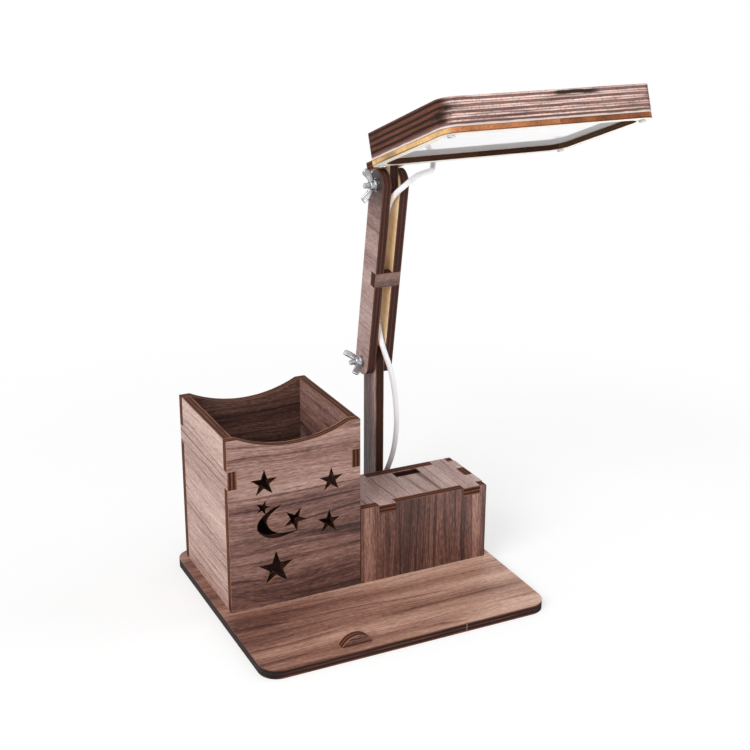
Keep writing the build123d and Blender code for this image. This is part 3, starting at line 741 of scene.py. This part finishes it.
# Streaks that the photograph shows
pen_front_streaks = (
    (0.0195, 0.008, 0.14),
    (0.0105, 0.005, -0.14),
    (-0.0145, 0.002, -0.2),
    (-0.035, 0.02, -0.08),
)
box_front_streaks = (
    (-0.035, 0.006, 0.32),
    (-0.0205, 0.003, 0.12),
    (0.0072, 0.0016, -0.22),
    (0.0254, 0.002, -0.2),
    (0.0332, 0.006, 0.3),
)
post_streaks = (
    (0.002, 0.0015, -0.2),
    (-0.004, 0.002, 0.12),
)
arm_streaks = (
    (0.055, 0.03, -0.42),
    (0.029, 0.0018, -0.2),
    (0.012, 0.003, -0.1),
    (0.0, 0.01, 0.08),
)

# What sheets of one kind share
pen_side = dict(face=X, grain=Y, tint=pink)
box_side = dict(grain=Z, wave=0.004)
arm_side = dict(lean=arm_lean, face=X, grain=Y, edge=umber, rim=0.1)
head_sheet = dict(lean=head_lean, face=Z)
head_ring = dict(head_sheet, edge=rosy, plies=3, burn=0.3, char=(0.18, 0.0), rim=0.2)

# Lifts paint in light and shade by how each sheet faces, besides its own tone: lighter lid, base and pen
# holder's left panel, darker box front and pen holder's back panel
sheets = {
    "base_plate": Look(face=Z, tint=warm, lift=0.125, fade=(1.5, 0.0), lines=0.25, contrast=1.15,
                       edge=charred, rim=0.3, char=(0.3, 0.3), seam=(0.0311, grey_cast, pale_mark),
                       bare=-1, inner=1),
    "phone_stop": Look(tint=warm, lift=-0.02, rim=1.0),
    "pen_front_panel": Look(tint=pink, lift=-0.05, fade=(-1.0, 2.8), wave=0.016, growth=95, contrast=0.6,
                            streaks=pen_front_streaks, rim=1.0, hollow_from=0.0085, inner=1),
    "pen_back_panel": Look(lift=-0.2, rim=0.4, hollow_from=0.0085, inner=-1),
    "pen_left_panel": Look(**pen_side, lift=0.27, wave=0.004, growth=185, lines=0.4, contrast=0.5, inner=1),
    "pen_right_panel": Look(**pen_side, wave=0.006, inner=-1),
    "box_front_panel": Look(grain=Z, tint=brown, lift=-0.26, fade=(0.0, 0.8), wave=0.003, growth=190,
                            lines=0.26, contrast=0.6, streaks=box_front_streaks),
    "box_back_panel": Look(**box_side, lift=-0.1),
    "box_left_panel": Look(**box_side, face=X, lift=-0.1),
    "box_right_panel": Look(**box_side, face=X, lift=-0.05),
    "box_lid": Look(face=Z, grain=Y, tint=sheen_mauve, lift=0.22, wave=0.003, growth=110, lines=0.45,
                    contrast=0.6),
    "post": Look(face=X, grain=Z, tint=sheen_cool, lift=-0.12, fade=(1.6, 0.0), wave=0.004, lines=0.4,
                 contrast=1.2, fibres=1.5, streaks=post_streaks, edge=umber),
    "arm_left_plate": Look(**arm_side, tint=sheen_mauve, lift=0.12, fade=(0.0, -2.4), wave=0.006, growth=45,
                           lines=0.16, contrast=0.5, fibres=0.3, streaks=arm_streaks, bare=1),
    "arm_right_plate": Look(**arm_side, tint=pink, bare=-1),
    "arm_bridge": Look(lean=arm_lean, tint=pink, lift=-0.17, edge=umber, rim=0.4),
    "head_tongue": Look(lean=head_lean, face=X, grain=Z, edge=umber, rim=0.2, bare=-1),
    "head_hinge_plate": Look(**head_sheet, rim=0.3, bare=-1),
    "head_bottom_frame": Look(**head_sheet, edge=honey, plies=1, rim=0.6, burn=-0.2, sooty=0.93,
                              seam=(0.08, rust_cast, soot_and_shade_brown), bare=-1, tones=whitewood_and_light_tones),
    "head_lower_ring": Look(**head_ring),
    "head_middle_ring": Look(**head_ring),
    "head_upper_ring": Look(**head_ring),
    "head_top_cover": Look(**head_ring, tint=warm, scorch=(0.0914, 0.0138), bare=-1),
    "switch_shelf": Look(face=Z, bare=1),
}


def dress(name, material):
    """Gives a node or a piece its one material."""
    piece = nodes[name] if isinstance(name, str) else name
    piece.data.materials.clear()
    piece.data.materials.append(material)


for number, (name, look) in enumerate(sheets.items()):
    dress(name, sheet_finish(name, seed_step * number, look))


def darkened(colour, share):
    """A share of a colour."""
    return tuple(value * share for value in colour[:3]) + (1.0,)


def moulded(name, colour, rough, relief=0.00004, spread=0.06):
    """Moulded plastic: slight drifts of tone and a fine skin texture."""
    finish = new_finish(name)
    drift = finish.noise(finish.place, (120, 120, 120), 0.0, 3.0)
    skin = finish.noise(finish.place, (2600, 2600, 2600))
    tone = finish.mix(drift, colour, darkened(colour, 1 - 2 * spread))
    gloss = finish.step(skin, 0.3, 0.7, rough - 0.05, rough + 0.05)
    return finish.done(Base_Color=tone, Roughness=gloss, Normal=finish.bump(skin, relief))


# Screw thread of the bolts
thread_pitch = 0.0005
thread_depth = 0.0001


def metal(name, colour, rough, relief=0.00003, thread_to=None):
    """Plated or cast metal: cloudy polish and small pits, and a thread along X up to a place where asked,
    with painted shade in its grooves.
    """
    finish = new_finish(name)
    cloud = finish.noise(finish.place, (260, 260, 260), 0.0, 3.0, 0.6)
    pit = finish.noise(finish.place, (1800, 1800, 1800))
    darker = darkened(colour, 0.6)
    tone = finish.mix(finish.step(cloud, 0.35, 0.7), colour, darker)
    gloss = finish.step(cloud, 0.3, 0.7, rough - 0.08, rough + 0.1)
    normal = finish.bump(pit, relief)
    if thread_to is not None:
        place_x = finish.along((1, 0, 0))
        groove = finish.math("PINGPONG", place_x, thread_pitch / 2) * (2 / thread_pitch)
        cut = (place_x < thread_to) * (abs(finish.facing((1, 0, 0))) < 0.5)
        # Painted shade in the thread's grooves
        tone = finish.mix(finish.step(groove, 0.5, 0.0) * cut, tone, darker)
        normal = finish.bump(groove * cut, thread_depth)
    return finish.done(Base_Color=tone, Metallic=1.0, Roughness=gloss, Normal=normal)


def milky_sheet():
    """Diffuser: glossy milk-white faces, and greyer sawn edges with fine marks through the sheet."""
    finish = new_finish("milky_diffuser")
    axis = head_turn.col[Z]
    on_face = abs(finish.facing(axis)) > face_limit
    cloud = finish.noise(finish.place, (90, 90, 90), 0.0, 2.0)
    saw = finish.noise(finish.place, (900, 900, 900), 2.0, 2.0)
    milk = finish.mix(cloud, shade(250, 250, 250), shade(243, 243, 245))
    middle, half = node_span("head_diffuser", axis)
    level = (finish.along(axis) - middle) * (1 / half)
    sawn = finish.mix(saw, shade(238, 222, 216), shade(210, 190, 184))
    sawn = finish.mix(finish.step(level + cloud, 0.2, 0.6), sawn, shade(104, 70, 60))
    colour = finish.mix(on_face, sawn, milk)
    rough = finish.step(cloud, 0.3, 0.7, 0.05, 0.09) * on_face + 0.5 * (1 - on_face)
    return finish.done(
        Base_Color=colour,
        Roughness=rough,
        Normal=finish.bump(saw * (1 - on_face), 0.00004),
        Coat_Weight=on_face * 0.45,
        Coat_Roughness=0.03,
    )


zinc = shade(212, 212, 216)
for name in ("lower_washer", "upper_washer", "head_screws", "switch_screws"):
    dress(name, metal(name + "_zinc", zinc, 0.3))
for name, pivot in (("lower_bolt", lower_pivot), ("upper_bolt", upper_pivot)):
    dress(name, metal(name + "_zinc", zinc, 0.28, thread_to=pivot.x))
cast_zinc = metal("cast_zinc", shade(186, 187, 190), 0.32, 0.00008)
for piece in wing_nuts:
    dress(piece, cast_zinc)
dress("battery_contacts", metal("nickel_contact", shade(205, 203, 196), 0.25))
dress("switch_body", metal("tinned_steel", shade(178, 178, 180), 0.35))
dress("head_diffuser", milky_sheet())
dress("led_board", moulded("white_board", shade(232, 234, 232), 0.4))
dress("leds", moulded("led_phosphor", shade(240, 214, 120), 0.3))
dress("head_core", moulded("red_wire", shade(170, 40, 36), 0.4))
dress("box_wires", moulded("red_wire_box", shade(170, 40, 36), 0.4))
dress("battery_tray", moulded("black_tray", shade(34, 34, 36), 0.5))
dress("battery_cells", moulded("cell_wrap", shade(70, 78, 88), 0.3))
dress("switch_knob", moulded("black_knob", shade(30, 30, 31), 0.45))
dress("box_grommet", moulded("grommet_rubber", shade(44, 43, 43), 0.6))
lead_finish = moulded("lead_sleeve", shade(251, 250, 254), 0.35, 0.00002, 0.01)
for piece in lead.values():
    dress(piece, lead_finish)


# Floor: half its width, its depth below the base, and how far from the middle its white begins and is full
floor_reach = 8.0
floor_depth = 0.0002
floor_near = 0.2
floor_far = 0.5

# Share of the room's white that lights the object
room_light = 0.34


def make_floor():
    """Wide pale floor. Seen by the camera or in a reflection it is lifted to white, fully so far away."""
    corners = np.array([(-1, -1, 0), (1, -1, 0), (1, 1, 0), (-1, 1, 0)]) * floor_reach
    corners[:, Z] = -floor_depth
    floor = mesh_piece("floor", corners, [[0, 1, 2, 3]], smooth=False)
    finish = new_finish("pale_floor")
    plain = finish.node("BsdfDiffuse", {}, {"Color": (0.96, 0.96, 0.96, 1)})
    soft = finish.node("BsdfDiffuse", {}, {"Color": (0.5, 0.5, 0.5, 1)})
    lift = finish.node("Emission", {}, {"Color": (1, 1, 1, 1), "Strength": 0.58})
    white = finish.node("Emission", {}, {"Color": (1, 1, 1, 1), "Strength": 1.0})
    distance = finish.node("VectorMath", {"operation": "LENGTH"}, {0: finish.place}, "Value")
    far = finish.step(distance, floor_near, floor_far)
    near = finish.node("AddShader", {}, {0: soft, 1: lift})
    seen = finish.node("MixShader", {}, {0: far, 1: near, 2: white})
    straight = finish.node("LightPath", output="Is Camera Ray")
    mirrored = finish.node("LightPath", output="Is Glossy Ray")
    through = finish.node("LightPath", output="Is Transmission Ray")
    share = finish.math("MINIMUM", straight + mirrored + through, 1.0)
    finish.surface(finish.node("MixShader", {}, {0: share, 1: plain, 2: seen}))
    dress(floor, finish.owner)


def soft_light(name, place, aim, size, power, seen=True):
    """Square area light that faces a point, hidden from the camera where asked."""
    lamp = bpy.data.lights.new(name, "AREA")
    lamp.size = size
    lamp.energy = power
    holder = bpy.data.objects.new(name, lamp)
    holder.location = place
    holder.rotation_euler = (Vector(aim) - Vector(place)).to_track_quat("-Z", "Y").to_euler()
    holder.visible_camera = seen
    bpy.context.scene.collection.objects.link(holder)


def make_world():
    """Even pale surroundings: white to the camera and in reflections, softer as light."""
    world = bpy.data.worlds.new("pale_room")
    bpy.context.scene.world = world
    room = Finish(world)
    lit = room.node("LightPath", output="Is Diffuse Ray")
    strength = 1.0 - lit * (1.0 - room_light)
    room.surface(room.node("Background", {}, {"Color": (1, 1, 1, 1), "Strength": strength}), "OutputWorld")


def make_camera():
    """Camera at the photograph's place, turned, dipped and rolled as it was."""
    heading = Vector((sin(camera_turn), cos(camera_turn), 0))
    forward = heading * cos(camera_dip) - Vector((0, 0, sin(camera_dip)))
    level = Vector((cos(camera_turn), -sin(camera_turn), 0))
    above = level.cross(forward)
    right = level * cos(camera_roll) + above * sin(camera_roll)
    up = right.cross(forward)
    data = bpy.data.cameras.new("camera")
    data.sensor_width = camera_sensor
    data.lens = camera_lens
    camera = bpy.data.objects.new("camera", data)
    axes = Matrix((right, up, -forward)).transposed().to_4x4()
    camera.matrix_world = Matrix.Translation(camera_place) @ axes
    bpy.context.scene.collection.objects.link(camera)
    bpy.context.scene.camera = camera


make_floor()
make_world()
soft_light("left_window", (-2.0, -1.2, 1.7), (0, 0, 0.1), 1.6, 50.0)
soft_light("top_window", (0.4, -0.4, 2.6), (0, 0, 0.05), 1.8, 8.0)
soft_light("right_window", (2.0, -0.4, 1.4), (0, 0, 0.1), 1.6, 10.0)
# Stands in for a bounce card under the head
soft_light("floor_card", (0.27, -0.22, 0.001), (0.27, -0.22, 1.0), 0.3, 0.6, seen=False)
make_camera()
bpy.context.scene.view_settings.view_transform = "Standard"
